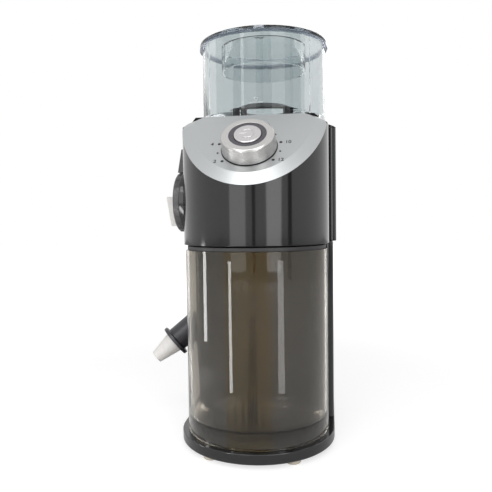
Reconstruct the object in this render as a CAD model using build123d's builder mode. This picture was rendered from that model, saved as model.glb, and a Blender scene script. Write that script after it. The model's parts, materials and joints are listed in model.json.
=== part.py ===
"""Burr coffee grinder with a clear hopper, a slanted control panel and a smoky grounds bin.

The front shell's half round stands on the Z axis of the plane level(0), with the front towards -Y.
Sizes are in millimetres and angles in degrees.
"""

import math
import os

from build123d import *

os.makedirs("parts", exist_ok=True)

# Feet, base and clearances
FOOT_R = 5.0
FOOT_H = 3.0
BASE_T = 7.0
BASE_LIP = 0.3
BASE_EDGE = 1.0
FOOT_EDGE = 0.6
REST_GAP = 0.2
FIT_GAP = 0.3
RUN_GAP = 0.06
PRESS_GAP = 0.02
SCREW_R = 1.5
SCREW_HEAD_R = 3.2
SCREW_HEAD_H = 2.5
SCREW_SINK = 1.0
SCREW_L = 20.0
THREAD_GAP = 0.1
BOSS_R = 4.5
BOSS_SINK = 1.0
FOOT_X = 26.0
FOOT_FRONT = -36.0
FOOT_BACK = 82.0

# Housing shells
WALL = 2.5
SHELL_R = 49.0
SHELL_BACK = 33.0
SHELL_H = 82.1
HOUSING_STEP = 5.2
HOUSING_HALF = SHELL_R + HOUSING_STEP
HOUSING_BACK = 108.0
HOUSING_EDGE_R = 4.0
REAR_CORNER_R = 38.0
COLUMN_HALF = HOUSING_HALF - WALL
COLUMN_FRONT = 16.5
COLUMN_BACK = 105.0
COLUMN_EDGE_R = 5.0
DECK_T = 2.5
COVER_T = 3.5
COVER_EDGE = 1.2
COVER_RUN = 9.0
COVER_DROP = 3.2
COVER_LIP_T = 2.0
COVER_LIP_H = 4.5
CORNER_RUN = 9.0
CORNER_DROP = 7.3
VENT_COUNT = 6
VENT_L = 34.0
VENT_W = 3.0
VENT_STEP = 7.0
VENT_HEIGHT = 45.0

# Grounds bin
BIN_STEP = 1.0
BIN_R = SHELL_R - BIN_STEP
BIN_H = 121.3
BIN_WALL = 2.0
BIN_FLOOR_T = 2.4
BIN_SKIRT_H = 10.0
BIN_BACK = 14.0
BIN_EDGE_R = 5.0
BIN_LID_T = 2.7
BIN_LID_INSET = 1.2
BIN_TOP_GAP = 0.8
BIN_HOLE_X = 3.0
BIN_HOLE_Y = 1.0
TONGUE_HALF = 18.5
TONGUE_H = 8.5

# Slanted control panel
PANEL_DROP = 45.44
PANEL_ANGLE = 45.57
PANEL_RISE = 3.18
PANEL_BEVEL = 7.8
PANEL_TOP_GAP = 4.6
PANEL_CORNER_R = 9.0
POST_R = 2.5
POST_X = 21.0
POST_Y = 15.0
BOARD_X = 52.0
BOARD_Y = 40.0
BOARD_T = 1.6
BOARD_DEPTH = 9.4

# Cup selector knob and start button
KNOB_DROP = 39.0
KNOB_R = 17.5
KNOB_TOP_R = 16.5
KNOB_H = 10.0
KNOB_LIFT = 0.6
KNOB_EDGE = 1.0
HUB_R = 6.5
HUB_DEPTH = 4.6
RING_R = 11.8
RING_T = 1.6
RING_SINK = 0.4
BUTTON_R = 8.6
BUTTON_H = 4.6
BUTTON_PROUD = 0.5
BUTTON_EDGE = 0.8
BUTTON_ROOM = 2.5
STEM_R = 2.5
SWITCH_SIDE = 6.0
SWITCH_H = 3.0
SELECTOR_R = 11.0
BIN_SWITCH_DROP = 14.0

# Burrs, chamber and chute
AXIS_BACK = 54.0
CHAMBER_RAISE = 33.0
CHAMBER_R = 36.0
CHAMBER_WALL = 3.0
CHAMBER_H = 26.0
LEG_R = 3.5
LEG_COUNT = 4
BURR_R = 25.0
BURR_BORE_R = 13.0
BURR_T = 5.0
BURR_GAP = 1.0
TOOTH_COUNT = 18
TOOTH_W = 2.4
TOOTH_DEPTH = 1.4
TOOTH_SHIFT = 1.0
TOOTH_SLANT = 18.0
ROTOR_T = 4.5
ROTOR_RAISE = 1.5
ROTOR_LIP = 1.0
ROTOR_HUB_R = 9.0
NUT_SINK = 1.0
NUT_R = 7.0
NUT_H = 4.0
PADDLE_R = 31.0
PADDLE_W = 3.0
PADDLE_COUNT = 4
CARRIER_H = 11.0
CARRIER_BORE_R = 16.0
ARM_T = 3.5
ARM_W = 9.0
ARM_ROOT = 4.0
CHUTE_HALF = 12.5
CHUTE_FRONT = -3.0
CHUTE_BACK = 10.5
CHUTE_WALL = 2.0
PORT_H = 10.0

# Grind dial and lifting cam
DIAL_BACK = 10.0
DIAL_RAISE = 29.0
DIAL_R = 20.5
DIAL_T = 4.7
DIAL_PLATE_R = 22.0
DIAL_PLATE_T = 2.0
INDEX_REACH = 37.0
INDEX_W = 9.0
INDEX_H = 7.0
INDEX_TOP_H = 4.2
GRIP_UP = 4.0
GRIP_DOWN = 16.7
GRIP_W = 8.0
GRIP_H = 9.1
GRIP_LOW_H = 5.8
GRIP_EDGE = 1.2
DIAL_EDGE = 1.0
SHAFT_END = 2.0
DIAL_SHAFT_R = 3.5
DIAL_BOSS_R = 7.0
DIAL_BOSS_L = 8.0
CAM_R = 9.0
CAM_T = 6.0
CAM_RATE = 0.2546
CAM_SWEEP = 150.0
CAM_POINTS = 12

# Hopper, guard and lid
HOPPER_R = 46.5
HOPPER_WALL = 1.8
HOPPER_H = 60.7
HOPPER_STEP = 1.0
HOPPER_STEP_ANGLE = 50.0
THROAT_R = 30.0
THROAT_DEPTH = 13.0
FUNNEL_H = 9.0
GUARD_R = 26.0
GUARD_H = 16.2
GUARD_T = 3.0
GUARD_SLOPE = 8.0
GUARD_DROP = 5.0
GUARD_ARM_W = 6.0
GUARD_ARM_T = 4.0
GUARD_RIM_H = 2.0
LID_T = 2.0
LID_EDGE = 1.2
LID_SKIRT_H = 2.0
LID_WALL = 1.7
LID_PLUG_R = 32.0
LID_PLUG_H = 18.5
LID_NOTCH_R = 4.0

# Motor
MOTOR_R = 28.0
DAMPER_R = 5.0
DAMPER_H = 12.0
DAMPER_CIRCLE_R = 21.0
BRACKET_T = 5.0
BEARING_R = 8.0
BEARING_T = 5.0
BEARING_BOSS_R = 11.0
SHAFT_R = 4.0
SHAFT_ROOM = 2.0
SHAFT_TOP = 2.5
PILLAR_R = 3.0
PILLAR_OUT = 24.5
CORE_RAISE = 48.0
CORE_H = 40.0
CORE_BORE_R = 17.0
WINDING_R = 21.0
WINDING_H = 8.0
WINDING_GAP = 0.5
ARMATURE_R = 16.5
ARMATURE_END = 2.0
ARMATURE_SLOTS = 12
SLOT_W = 2.0
SLOT_DEPTH = 4.0
COMMUTATOR_R = 9.0
COMMUTATOR_H = 10.0
BRUSH_L = 9.0
BRUSH_W = 6.0
BRUSH_DROP = 2.0
HOLDER_GAP = 3.0
FAN_R = 20.5
FAN_H = 8.0
FAN_BLADES = 9
FAN_PLATE_T = 1.5
FAN_HUB_R = 7.0
FAN_GAP = 2.0
BLADE_T = 1.5
BRACKET_SPAN = 21.0

# Lead gland on the left wall of the column
GLAND_BACK = 33.0
GLAND_RAISE = 70.1
GLAND_ANGLE = 39.0
GLAND_LEAN = 20.0
GLAND_REACH = 18.4
GLAND_R = 9.0
GLAND_NECK_R = 5.0
FLANGE_R = 12.0
FLANGE_T = 2.6
SLEEVE_R = 8.0
SLEEVE_TIP_R = 4.5
SLEEVE_L = 17.6
LEAD_R = 3.2
LEAD_DEPTH = 14.0

# Heights worked out from the driving sizes
base_top = FOOT_H + BASE_T
bin_bottom = base_top + REST_GAP
bin_top = bin_bottom + BIN_H
bin_floor = bin_bottom + BIN_SKIRT_H
shell_bottom = bin_top + BIN_LID_T + BIN_TOP_GAP
deck_top = shell_bottom + DECK_T
cover_bottom = shell_bottom + SHELL_H
cover_top = cover_bottom + COVER_T
chamber_bottom = shell_bottom + CHAMBER_RAISE
chamber_floor = chamber_bottom + CHAMBER_WALL
rotor_bottom = chamber_floor + ROTOR_RAISE
lower_burr_bottom = rotor_bottom + ROTOR_T
upper_burr_bottom = lower_burr_bottom + BURR_T + BURR_GAP
carrier_bottom = upper_burr_bottom + BURR_T
carrier_top = carrier_bottom + CARRIER_H
hopper_bottom = cover_top + REST_GAP
hopper_top = hopper_bottom + HOPPER_H
bracket_bottom = base_top + DAMPER_H
bracket_top = bracket_bottom + BRACKET_T
core_bottom = base_top + CORE_RAISE
core_top = core_bottom + CORE_H
upper_bracket_bottom = core_top + BRACKET_SPAN
dial_height = shell_bottom + DIAL_RAISE

# Radii worked out from the driving sizes
base_r = COLUMN_HALF + BASE_LIP
chamber_bore_r = CHAMBER_R - CHAMBER_WALL
bore_r = BUTTON_R + FIT_GAP
hopper_in_r = HOPPER_R - HOPPER_WALL
lid_r = HOPPER_R + FIT_GAP + LID_WALL

# The gland's line, and the place that centres the whole box over the origin
gland_cos = math.cos(math.radians(GLAND_ANGLE))
gland_sin = math.sin(math.radians(GLAND_ANGLE))
gland_out = gland_cos * math.cos(math.radians(GLAND_LEAN))
gland_front = gland_cos * math.sin(math.radians(GLAND_LEAN))
gland_total = GLAND_REACH + FLANGE_T + SLEEVE_L
left_reach = COLUMN_HALF + gland_total * gland_out + SLEEVE_TIP_R * math.sqrt(1 - gland_out**2)
BODY_X = (left_reach - HOUSING_HALF) / 2
BODY_Y = (base_r - HOUSING_BACK) / 2

panel_cos = math.cos(math.radians(PANEL_ANGLE))
panel_sin = math.sin(math.radians(PANEL_ANGLE))
PANEL_NORMAL = Vector(0, -panel_sin, panel_cos)
PANEL_UP = Vector(0, panel_cos, panel_sin)


def level(height):
    """Horizontal plane whose origin is on the front shell's axis."""
    return Plane(origin=(BODY_X, BODY_Y, height))


def burr_level(height):
    """Horizontal plane whose origin is on the axis of the hopper, burrs and motor."""
    return Plane(origin=(BODY_X, BODY_Y + AXIS_BACK, height))


def panel_plane(rise):
    """Plane parallel to the panel, centred where the shell's axis meets the panel's edge plane."""
    axis_height = cover_bottom - PANEL_DROP + SHELL_R * panel_sin / panel_cos
    centre = Vector(BODY_X, BODY_Y, axis_height) + PANEL_NORMAL * rise
    return Plane(origin=centre, x_dir=(1, 0, 0), z_dir=PANEL_NORMAL)


def knob_plane(rise):
    """Plane across the knob's axis, at a height above the panel's flat face."""
    return panel_plane(PANEL_RISE + rise).shift_origin(
        panel_plane(PANEL_RISE + rise).from_local_coords(Vector(0, -KNOB_DROP, 0))
    )


def dial_plane(out):
    """Plane across the dial's axis, at a distance left of the shell's axis, facing left."""
    centre = (BODY_X - out, BODY_Y + DIAL_BACK, dial_height)
    return Plane(origin=centre, x_dir=(0, -1, 0), z_dir=(-1, 0, 0))


def gland_plane(along):
    """Plane across the gland's axis, at a distance from the column's wall."""
    wall = Vector(BODY_X - COLUMN_HALF, BODY_Y + GLAND_BACK, FOOT_H + GLAND_RAISE)
    direction = Vector(-gland_out, -gland_front, -gland_sin)
    return Plane(origin=wall + direction * along, z_dir=direction)


def disc(plane, radius, hole=0.0):
    """Circle, with a round hole where one is given."""
    with BuildSketch(plane, mode=Mode.PRIVATE) as outline:
        Circle(radius)
        if hole > 0:
            Circle(hole, mode=Mode.SUBTRACT)
    return outline.sketch


def bar(plane, width, depth, x=0.0, y=0.0):
    """Rectangle centred at a point of the plane."""
    with BuildSketch(plane, mode=Mode.PRIVATE) as outline:
        with Locations((x, y)):
            Rectangle(width, depth)
    return outline.sketch


def front_round(plane, radius, back, corner=0.0):
    """Half round at the front with straight sides to a flat back."""
    with BuildSketch(plane, mode=Mode.PRIVATE) as outline:
        with BuildLine() as edge:
            CenterArc((0, 0), radius, 180, 180)
            Polyline((radius, 0), (radius, back), (-radius, back), (-radius, 0))
        make_face(edge.edges())
        if corner > 0:
            fillet(outline.vertices().group_by(Axis.Y)[-1], corner)
    return outline.sketch


def rear_block(plane, half, front, back, edge_r, corner_r):
    """Rectangle with small front corners and large rear corners."""
    with BuildSketch(plane, mode=Mode.PRIVATE) as outline:
        with Locations((0, (front + back) / 2)):
            Rectangle(2 * half, back - front)
        fillet(outline.vertices().group_by(Axis.Y)[-1], corner_r)
        fillet(outline.vertices().group_by(Axis.Y)[0], edge_r)
    return outline.sketch


def panel_outline(rise, margin):
    """The panel's edge: the shell's round seen on the slant, cut off along the top."""
    reach = SHELL_R / panel_cos
    with BuildSketch(panel_plane(rise), mode=Mode.PRIVATE) as outline:
        Ellipse(SHELL_R - margin, reach - margin)
        with Locations((0, -PANEL_TOP_GAP - reach)):
            Rectangle(2 * SHELL_R, 2 * reach, mode=Mode.INTERSECT)
        fillet(outline.vertices().group_by(Axis.Y)[-1], PANEL_CORNER_R)
    return outline.sketch


def side_wedges(half, back, run, drop):
    """What is cut off the two top side edges of the casing, drawn on a plane that faces the front."""
    behind = Plane(origin=(BODY_X, BODY_Y + back, cover_top), x_dir=(1, 0, 0), z_dir=(0, -1, 0))
    with BuildSketch(behind, mode=Mode.PRIVATE) as outline:
        for side in (-1, 1):
            with BuildLine() as edge:
                Polyline(
                    (side * (half - run), 0),
                    (side * (half + run), -2 * drop),
                    (side * (half + run), 0),
                    close=True,
                )
            make_face(edge.edges())
    return outline.sketch


def finish(piece, name):
    """Label a finished piece and write it."""
    piece.part.label = name
    export_step(piece.part, f"parts/{name}.step")


# Base plate with counterbored screw holes and the tongue that guides the bin
boss_out = COLUMN_HALF - WALL - BOSS_R + BOSS_SINK
boss_in = boss_out - (REAR_CORNER_R - WALL - BOSS_R + BOSS_SINK) * (1 - math.sqrt(0.5))
boss_front = COLUMN_FRONT + COLUMN_EDGE_R + 2 * BOSS_R
boss_back = COLUMN_BACK - COLUMN_HALF + boss_in
screw_points = [(-boss_out, boss_front), (boss_out, boss_front), (-boss_in, boss_back), (boss_in, boss_back)]
foot_points = [(-FOOT_X, FOOT_FRONT), (FOOT_X, FOOT_FRONT), (-FOOT_X, FOOT_BACK), (FOOT_X, FOOT_BACK)]
screw_head_bottom = FOOT_H + SCREW_SINK

with BuildPart() as base_plate:
    extrude(front_round(level(FOOT_H), base_r, COLUMN_BACK, REAR_CORNER_R), amount=BASE_T)
    chamfer(base_plate.edges().group_by(Axis.Z)[0], BASE_EDGE)
    tongue_front = BIN_BACK - BIN_WALL + FIT_GAP
    tongue_back = COLUMN_FRONT - REST_GAP
    tongue_y = (tongue_front + tongue_back) / 2
    extrude(bar(level(base_top), 2 * TONGUE_HALF, tongue_back - tongue_front, 0, tongue_y), amount=TONGUE_H)
    with Locations(level(FOOT_H)):
        with Locations(*screw_points):
            Cylinder(SCREW_R + FIT_GAP, 3 * BASE_T, mode=Mode.SUBTRACT)
            Cylinder(SCREW_HEAD_R + FIT_GAP, 2 * (SCREW_HEAD_H + SCREW_SINK), mode=Mode.SUBTRACT)
finish(base_plate, "base_plate")

with BuildPart() as feet:
    with BuildSketch(level(0)):
        with Locations(*foot_points):
            Circle(FOOT_R)
    extrude(amount=FOOT_H)
    chamfer(feet.edges().group_by(Axis.Z)[0], FOOT_EDGE)
finish(feet, "feet")

with BuildPart() as base_screws:
    with BuildSketch(level(screw_head_bottom)):
        with Locations(*screw_points):
            Circle(SCREW_HEAD_R)
    extrude(amount=SCREW_HEAD_H)
    with BuildSketch(level(screw_head_bottom)):
        with Locations(*screw_points):
            Circle(SCREW_R)
    extrude(amount=SCREW_L)
finish(base_screws, "base_screws")

# Rear column: closed wall, screw bosses inside and cooling slots at the back
with BuildPart() as rear_column:
    column_h = shell_bottom - base_top
    extrude(
        rear_block(level(base_top), COLUMN_HALF, COLUMN_FRONT, COLUMN_BACK, COLUMN_EDGE_R, REAR_CORNER_R),
        amount=column_h,
    )
    extrude(
        rear_block(
            level(base_top),
            COLUMN_HALF - WALL,
            COLUMN_FRONT + WALL,
            COLUMN_BACK - WALL,
            COLUMN_EDGE_R - WALL,
            REAR_CORNER_R - WALL,
        ),
        amount=column_h,
        mode=Mode.SUBTRACT,
    )
    with BuildSketch(level(base_top)):
        with Locations(*screw_points):
            Circle(BOSS_R)
    extrude(amount=SCREW_L)
    with BuildSketch(level(base_top)):
        with Locations(*screw_points):
            Circle(SCREW_R + THREAD_GAP)
    extrude(amount=SCREW_L, mode=Mode.SUBTRACT)
    back_wall = Plane(origin=(BODY_X, BODY_Y + COLUMN_BACK, FOOT_H + VENT_HEIGHT), z_dir=(0, 1, 0))
    with BuildSketch(back_wall):
        with GridLocations(VENT_L, VENT_STEP, 1, VENT_COUNT):
            SlotOverall(VENT_L, VENT_W)
    extrude(amount=-2 * WALL, mode=Mode.SUBTRACT)
    side_wall = Plane(
        origin=(BODY_X - COLUMN_HALF, BODY_Y + GLAND_BACK, FOOT_H + GLAND_RAISE),
        x_dir=(0, -1, 0),
        z_dir=(-1, 0, 0),
    )
    with BuildSketch(side_wall):
        Circle(GLAND_NECK_R + PRESS_GAP)
    extrude(amount=-2 * WALL, mode=Mode.SUBTRACT)
finish(rear_column, "rear_column")

# Front shell: open tube cut along the panel's plane, with the dial's bearing boss inside
with BuildPart() as front_shell:
    extrude(front_round(level(shell_bottom), SHELL_R, SHELL_BACK), amount=SHELL_H)
    inside = front_round(level(shell_bottom), SHELL_R - WALL, SHELL_BACK + WALL)
    extrude(inside, amount=SHELL_H, mode=Mode.SUBTRACT)
    split(bisect_by=panel_plane(0), keep=Keep.BOTTOM)
    corners = side_wedges(SHELL_R, SHELL_BACK, CORNER_RUN, CORNER_DROP)
    extrude(corners, amount=SHELL_BACK + SHELL_R, mode=Mode.SUBTRACT)
    extrude(disc(dial_plane(SHELL_R - WALL / 2), DIAL_BOSS_R), amount=-DIAL_BOSS_L - WALL / 2)
    shaft_hole = disc(dial_plane(SHELL_R + WALL), DIAL_SHAFT_R + RUN_GAP)
    extrude(shaft_hole, amount=-4 * DIAL_BOSS_L, mode=Mode.SUBTRACT)
finish(front_shell, "front_shell")

# Upper rear housing: wall open to the front shell
with BuildPart() as upper_housing:
    extrude(
        rear_block(
            level(shell_bottom), HOUSING_HALF, SHELL_BACK, HOUSING_BACK, HOUSING_EDGE_R, REAR_CORNER_R
        ),
        amount=SHELL_H,
    )
    extrude(
        rear_block(
            level(shell_bottom),
            HOUSING_HALF - WALL,
            SHELL_BACK + WALL,
            HOUSING_BACK - WALL,
            HOUSING_EDGE_R - WALL,
            REAR_CORNER_R - WALL,
        ),
        amount=SHELL_H,
        mode=Mode.SUBTRACT,
    )
    doorway = bar(level(shell_bottom), 2 * (SHELL_R - WALL), 4 * WALL, 0, SHELL_BACK)
    extrude(doorway, amount=SHELL_H, mode=Mode.SUBTRACT)
finish(upper_housing, "upper_housing")

# Deck between the bin and the machinery, with holes for the chute and the motor's shaft
with BuildPart() as chamber_deck:
    inner_r = SHELL_R - WALL - REST_GAP
    extrude(front_round(level(shell_bottom), inner_r, SHELL_BACK + 2 * WALL), amount=DECK_T)
    extrude(
        rear_block(
            level(shell_bottom),
            HOUSING_HALF - WALL - REST_GAP,
            SHELL_BACK + WALL + REST_GAP,
            HOUSING_BACK - WALL - REST_GAP,
            HOUSING_EDGE_R - WALL,
            REAR_CORNER_R - WALL,
        ),
        amount=DECK_T,
    )
    chute_y = (CHUTE_FRONT + CHUTE_BACK) / 2
    chute_in_x = 2 * (CHUTE_HALF - CHUTE_WALL)
    chute_in_y = CHUTE_BACK - CHUTE_FRONT - 2 * CHUTE_WALL
    extrude(bar(level(shell_bottom), chute_in_x, chute_in_y, 0, chute_y), amount=DECK_T, mode=Mode.SUBTRACT)
    extrude(disc(burr_level(shell_bottom), SHAFT_R + SHAFT_ROOM), amount=DECK_T, mode=Mode.SUBTRACT)
finish(chamber_deck, "chamber_deck")

# Control panel: flat slanted face inside a wide bevelled rim, with posts for the board
with BuildPart() as control_panel:
    loft([panel_outline(0, 0).face(), panel_outline(PANEL_RISE, PANEL_BEVEL).face()], ruled=True)
    post_l = BOARD_DEPTH - PANEL_RISE
    with BuildSketch(knob_plane(-PANEL_RISE)):
        with GridLocations(2 * POST_X, 2 * POST_Y, 2, 2):
            Circle(POST_R)
    extrude(amount=-post_l)
    extrude(disc(knob_plane(KNOB_LIFT), HUB_R + FIT_GAP), amount=-2 * PANEL_RISE, mode=Mode.SUBTRACT)
finish(control_panel, "control_panel")

# Top cover that carries the hopper, sloped at the sides, with a lip inside the front shell
with BuildPart() as top_cover:
    extrude(front_round(level(cover_bottom), SHELL_R, SHELL_BACK + 2 * WALL), amount=COVER_T)
    extrude(
        rear_block(
            level(cover_bottom), HOUSING_HALF, SHELL_BACK, HOUSING_BACK, HOUSING_EDGE_R, REAR_CORNER_R
        ),
        amount=COVER_T,
    )
    chamfer(top_cover.edges().group_by(Axis.Z)[-1], COVER_EDGE)
    lip_r = SHELL_R - WALL - REST_GAP
    with BuildSketch(level(cover_bottom)):
        add(front_round(Plane.XY, lip_r, SHELL_BACK))
        add(front_round(Plane.XY, lip_r - COVER_LIP_T, SHELL_BACK + WALL), mode=Mode.SUBTRACT)
    extrude(amount=-COVER_LIP_H)
    corners = side_wedges(SHELL_R, SHELL_BACK, CORNER_RUN, CORNER_DROP)
    extrude(corners, amount=SHELL_BACK + SHELL_R, mode=Mode.SUBTRACT)
    slopes = side_wedges(HOUSING_HALF, HOUSING_BACK, COVER_RUN, COVER_DROP)
    extrude(slopes, amount=HOUSING_BACK - SHELL_BACK, mode=Mode.SUBTRACT)
    extrude(disc(burr_level(cover_bottom), THROAT_R + FIT_GAP), amount=COVER_T, mode=Mode.SUBTRACT)
    panel_end = panel_plane(0).from_local_coords(Vector(0, -PANEL_TOP_GAP + REST_GAP, 0))
    split(bisect_by=Plane(origin=panel_end, z_dir=PANEL_UP), keep=Keep.TOP)
finish(top_cover, "top_cover")

# Hopper: clear wall with a stepped front, funnel floor and throat
with BuildPart() as hopper:
    section = Plane(origin=(BODY_X, BODY_Y + AXIS_BACK, 0), x_dir=(1, 0, 0), z_dir=(0, -1, 0))
    throat_in_r = THROAT_R - HOPPER_WALL
    throat_bottom = cover_bottom - THROAT_DEPTH + COVER_T
    funnel_top = hopper_bottom + FUNNEL_H
    with BuildSketch(section):
        with BuildLine():
            Polyline(
                (throat_in_r, throat_bottom),
                (THROAT_R, throat_bottom),
                (THROAT_R, hopper_bottom),
                (HOPPER_R, hopper_bottom),
                (HOPPER_R, hopper_top),
                (hopper_in_r, hopper_top),
                (hopper_in_r, funnel_top),
                (throat_in_r, hopper_bottom + HOPPER_WALL),
                close=True,
            )
        make_face()
    revolve(axis=Axis((BODY_X, BODY_Y + AXIS_BACK, 0), (0, 0, 1)))
    with BuildSketch(burr_level(hopper_bottom)):
        with BuildLine():
            CenterArc((0, 0), HOPPER_R + HOPPER_STEP, -90 - HOPPER_STEP_ANGLE, 2 * HOPPER_STEP_ANGLE)
            CenterArc((0, 0), HOPPER_R - HOPPER_WALL / 2, -90 - HOPPER_STEP_ANGLE, 2 * HOPPER_STEP_ANGLE)
            for side in (-1, 1):
                turn = math.radians(-90 + side * HOPPER_STEP_ANGLE)
                Line(
                    ((HOPPER_R + HOPPER_STEP) * math.cos(turn), (HOPPER_R + HOPPER_STEP) * math.sin(turn)),
                    (
                        (HOPPER_R - HOPPER_WALL / 2) * math.cos(turn),
                        (HOPPER_R - HOPPER_WALL / 2) * math.sin(turn),
                    ),
                )
        make_face()
    extrude(amount=HOPPER_H - LID_SKIRT_H)
finish(hopper, "hopper")

# Finger guard over the throat: a dome on crossed arms that drop into the throat
with BuildPart() as hopper_guard:
    guard_bottom = hopper_bottom
    guard_top = guard_bottom + GUARD_H
    with BuildSketch(section):
        with BuildLine():
            Polyline(
                (0, guard_top - GUARD_T),
                (0, guard_top),
                (GUARD_R - GUARD_SLOPE, guard_top),
                (GUARD_R, guard_top - GUARD_DROP),
                (GUARD_R - GUARD_T, guard_top - GUARD_DROP),
                (GUARD_R - GUARD_SLOPE - GUARD_T / 3, guard_top - GUARD_T),
                close=True,
            )
        make_face()
    revolve(axis=Axis((BODY_X, BODY_Y + AXIS_BACK, 0), (0, 0, 1)))
    arm_in = throat_in_r - FIT_GAP
    for turn in (45, 135):
        with BuildSketch(burr_level(guard_bottom)):
            Rectangle(2 * arm_in, GUARD_ARM_W / 2, rotation=turn)
            Rectangle(2 * (arm_in - GUARD_ARM_T), GUARD_ARM_W, rotation=turn, mode=Mode.SUBTRACT)
        extrude(amount=GUARD_H - GUARD_DROP + GUARD_T / 3)
    extrude(disc(burr_level(guard_bottom), arm_in, arm_in - GUARD_ARM_T), amount=GUARD_RIM_H)
finish(hopper_guard, "hopper_guard")

# Hopper lid: plate, outer skirt and plug ring, with a finger notch
with BuildPart() as hopper_lid:
    lid_bottom = hopper_top + REST_GAP
    extrude(disc(burr_level(lid_bottom), lid_r), amount=LID_T)
    fillet(hopper_lid.edges().group_by(Axis.Z)[-1], LID_EDGE)
    extrude(disc(burr_level(lid_bottom), lid_r, HOPPER_R + FIT_GAP), amount=-LID_SKIRT_H)
    extrude(disc(burr_level(lid_bottom), LID_PLUG_R, LID_PLUG_R - HOPPER_WALL), amount=-LID_PLUG_H)
    with BuildSketch(burr_level(lid_bottom)):
        with BuildLine():
            CenterArc((0, 0), lid_r + HOPPER_STEP, -90 - HOPPER_STEP_ANGLE, 2 * HOPPER_STEP_ANGLE)
            CenterArc((0, 0), lid_r - LID_WALL / 2, -90 - HOPPER_STEP_ANGLE, 2 * HOPPER_STEP_ANGLE)
            for side in (-1, 1):
                turn = math.radians(-90 + side * HOPPER_STEP_ANGLE)
                Line(
                    ((lid_r + HOPPER_STEP) * math.cos(turn), (lid_r + HOPPER_STEP) * math.sin(turn)),
                    ((lid_r - LID_WALL / 2) * math.cos(turn), (lid_r - LID_WALL / 2) * math.sin(turn)),
                )
        make_face()
    extrude(amount=-(LID_SKIRT_H - REST_GAP - FIT_GAP) / 2)
    with Locations(burr_level(lid_bottom + LID_T)):
        with Locations((0, -LID_PLUG_R + LID_NOTCH_R)):
            Cylinder(LID_NOTCH_R, LID_T, mode=Mode.SUBTRACT)
finish(hopper_lid, "hopper_lid")

# Grounds bin: see-through box with a round front, raised floor and rear notch
with BuildPart() as grounds_bin:
    extrude(front_round(level(bin_bottom), BIN_R, BIN_BACK, BIN_EDGE_R), amount=BIN_H)
    inside_back = BIN_BACK - BIN_WALL
    inside_edge = BIN_EDGE_R - BIN_WALL
    extrude(
        front_round(level(bin_floor + BIN_FLOOR_T), BIN_R - BIN_WALL, inside_back, inside_edge),
        amount=BIN_H,
        mode=Mode.SUBTRACT,
    )
    extrude(
        front_round(level(bin_bottom), BIN_R - BIN_WALL, inside_back, inside_edge),
        amount=BIN_SKIRT_H,
        mode=Mode.SUBTRACT,
    )
    notch_y = BIN_BACK - BIN_WALL / 2
    extrude(
        bar(level(bin_bottom), 2 * (TONGUE_HALF + FIT_GAP), 2 * BIN_WALL, 0, notch_y),
        amount=TONGUE_H + FIT_GAP,
        mode=Mode.SUBTRACT,
    )
finish(grounds_bin, "grounds_bin")

with BuildPart() as bin_lid:
    lid_edge = BIN_EDGE_R - BIN_LID_INSET
    extrude(
        front_round(level(bin_top), BIN_R - BIN_LID_INSET, BIN_BACK - BIN_LID_INSET, lid_edge),
        amount=BIN_LID_T,
    )
    hole_x = chute_in_x + BIN_HOLE_X
    hole_y = chute_in_y + BIN_HOLE_Y
    extrude(bar(level(bin_top), hole_x, hole_y, 0, chute_y), amount=BIN_LID_T, mode=Mode.SUBTRACT)
finish(bin_lid, "bin_lid")

# Cup knob, its dark ring and the start button, all about the panel's normal
knob_section = Plane(
    origin=knob_plane(0).origin,
    x_dir=(1, 0, 0),
    z_dir=(0, -panel_cos, -panel_sin),
)
knob_axis = Axis(knob_plane(0).origin, PANEL_NORMAL)
knob_top = KNOB_LIFT + KNOB_H
ring_seat = knob_top - RING_SINK - RING_T
button_top = knob_top + BUTTON_PROUD
button_bottom = button_top - BUTTON_H
well_bottom = button_bottom - BUTTON_ROOM
stem_bottom = -HUB_DEPTH
stem_bore_r = STEM_R + FIT_GAP

with BuildPart() as cup_knob:
    with BuildSketch(knob_section):
        with BuildLine():
            Polyline(
                (stem_bore_r, -HUB_DEPTH),
                (HUB_R, -HUB_DEPTH),
                (HUB_R, KNOB_LIFT),
                (KNOB_R, KNOB_LIFT),
                (KNOB_TOP_R, knob_top - KNOB_EDGE),
                (KNOB_TOP_R - KNOB_EDGE, knob_top),
                (RING_R + PRESS_GAP, knob_top),
                (RING_R + PRESS_GAP, ring_seat),
                (bore_r, ring_seat),
                (bore_r, well_bottom),
                (stem_bore_r, well_bottom),
                close=True,
            )
        make_face()
    revolve(axis=knob_axis)
finish(cup_knob, "cup_knob")

with BuildPart() as knob_ring:
    extrude(disc(knob_plane(ring_seat), RING_R, bore_r), amount=RING_T)
finish(knob_ring, "knob_ring")

with BuildPart() as start_button:
    extrude(disc(knob_plane(button_bottom), BUTTON_R), amount=BUTTON_H)
    fillet(start_button.faces().sort_by(knob_axis)[-1].edges(), BUTTON_EDGE)
    extrude(disc(knob_plane(button_bottom), STEM_R), amount=stem_bottom - button_bottom)
finish(start_button, "start_button")

# Control board with the selector ring and the start switch
with BuildPart() as control_board:
    extrude(bar(knob_plane(-BOARD_DEPTH), BOARD_X, BOARD_Y), amount=-BOARD_T)
finish(control_board, "control_board")

with BuildPart() as selector:
    selector_h = BOARD_DEPTH - PANEL_RISE - FIT_GAP
    extrude(disc(knob_plane(-BOARD_DEPTH), SELECTOR_R, HUB_R + FIT_GAP), amount=selector_h)
finish(selector, "selector")

with BuildPart() as start_switch:
    extrude(bar(knob_plane(-BOARD_DEPTH), SWITCH_SIDE, SWITCH_SIDE), amount=SWITCH_H)
finish(start_switch, "start_switch")

# Grind dial on the left side: index plate, dial, fin grip, shaft and spiral cam
dial_in = SHELL_R + DIAL_PLATE_T + FIT_GAP
dial_out = dial_in + DIAL_T
cam_out = SHELL_R - WALL - DIAL_BOSS_L - FIT_GAP
dial_side = Plane(origin=(BODY_X, BODY_Y + DIAL_BACK, dial_height), x_dir=(-1, 0, 0), z_dir=(0, 1, 0))

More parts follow.
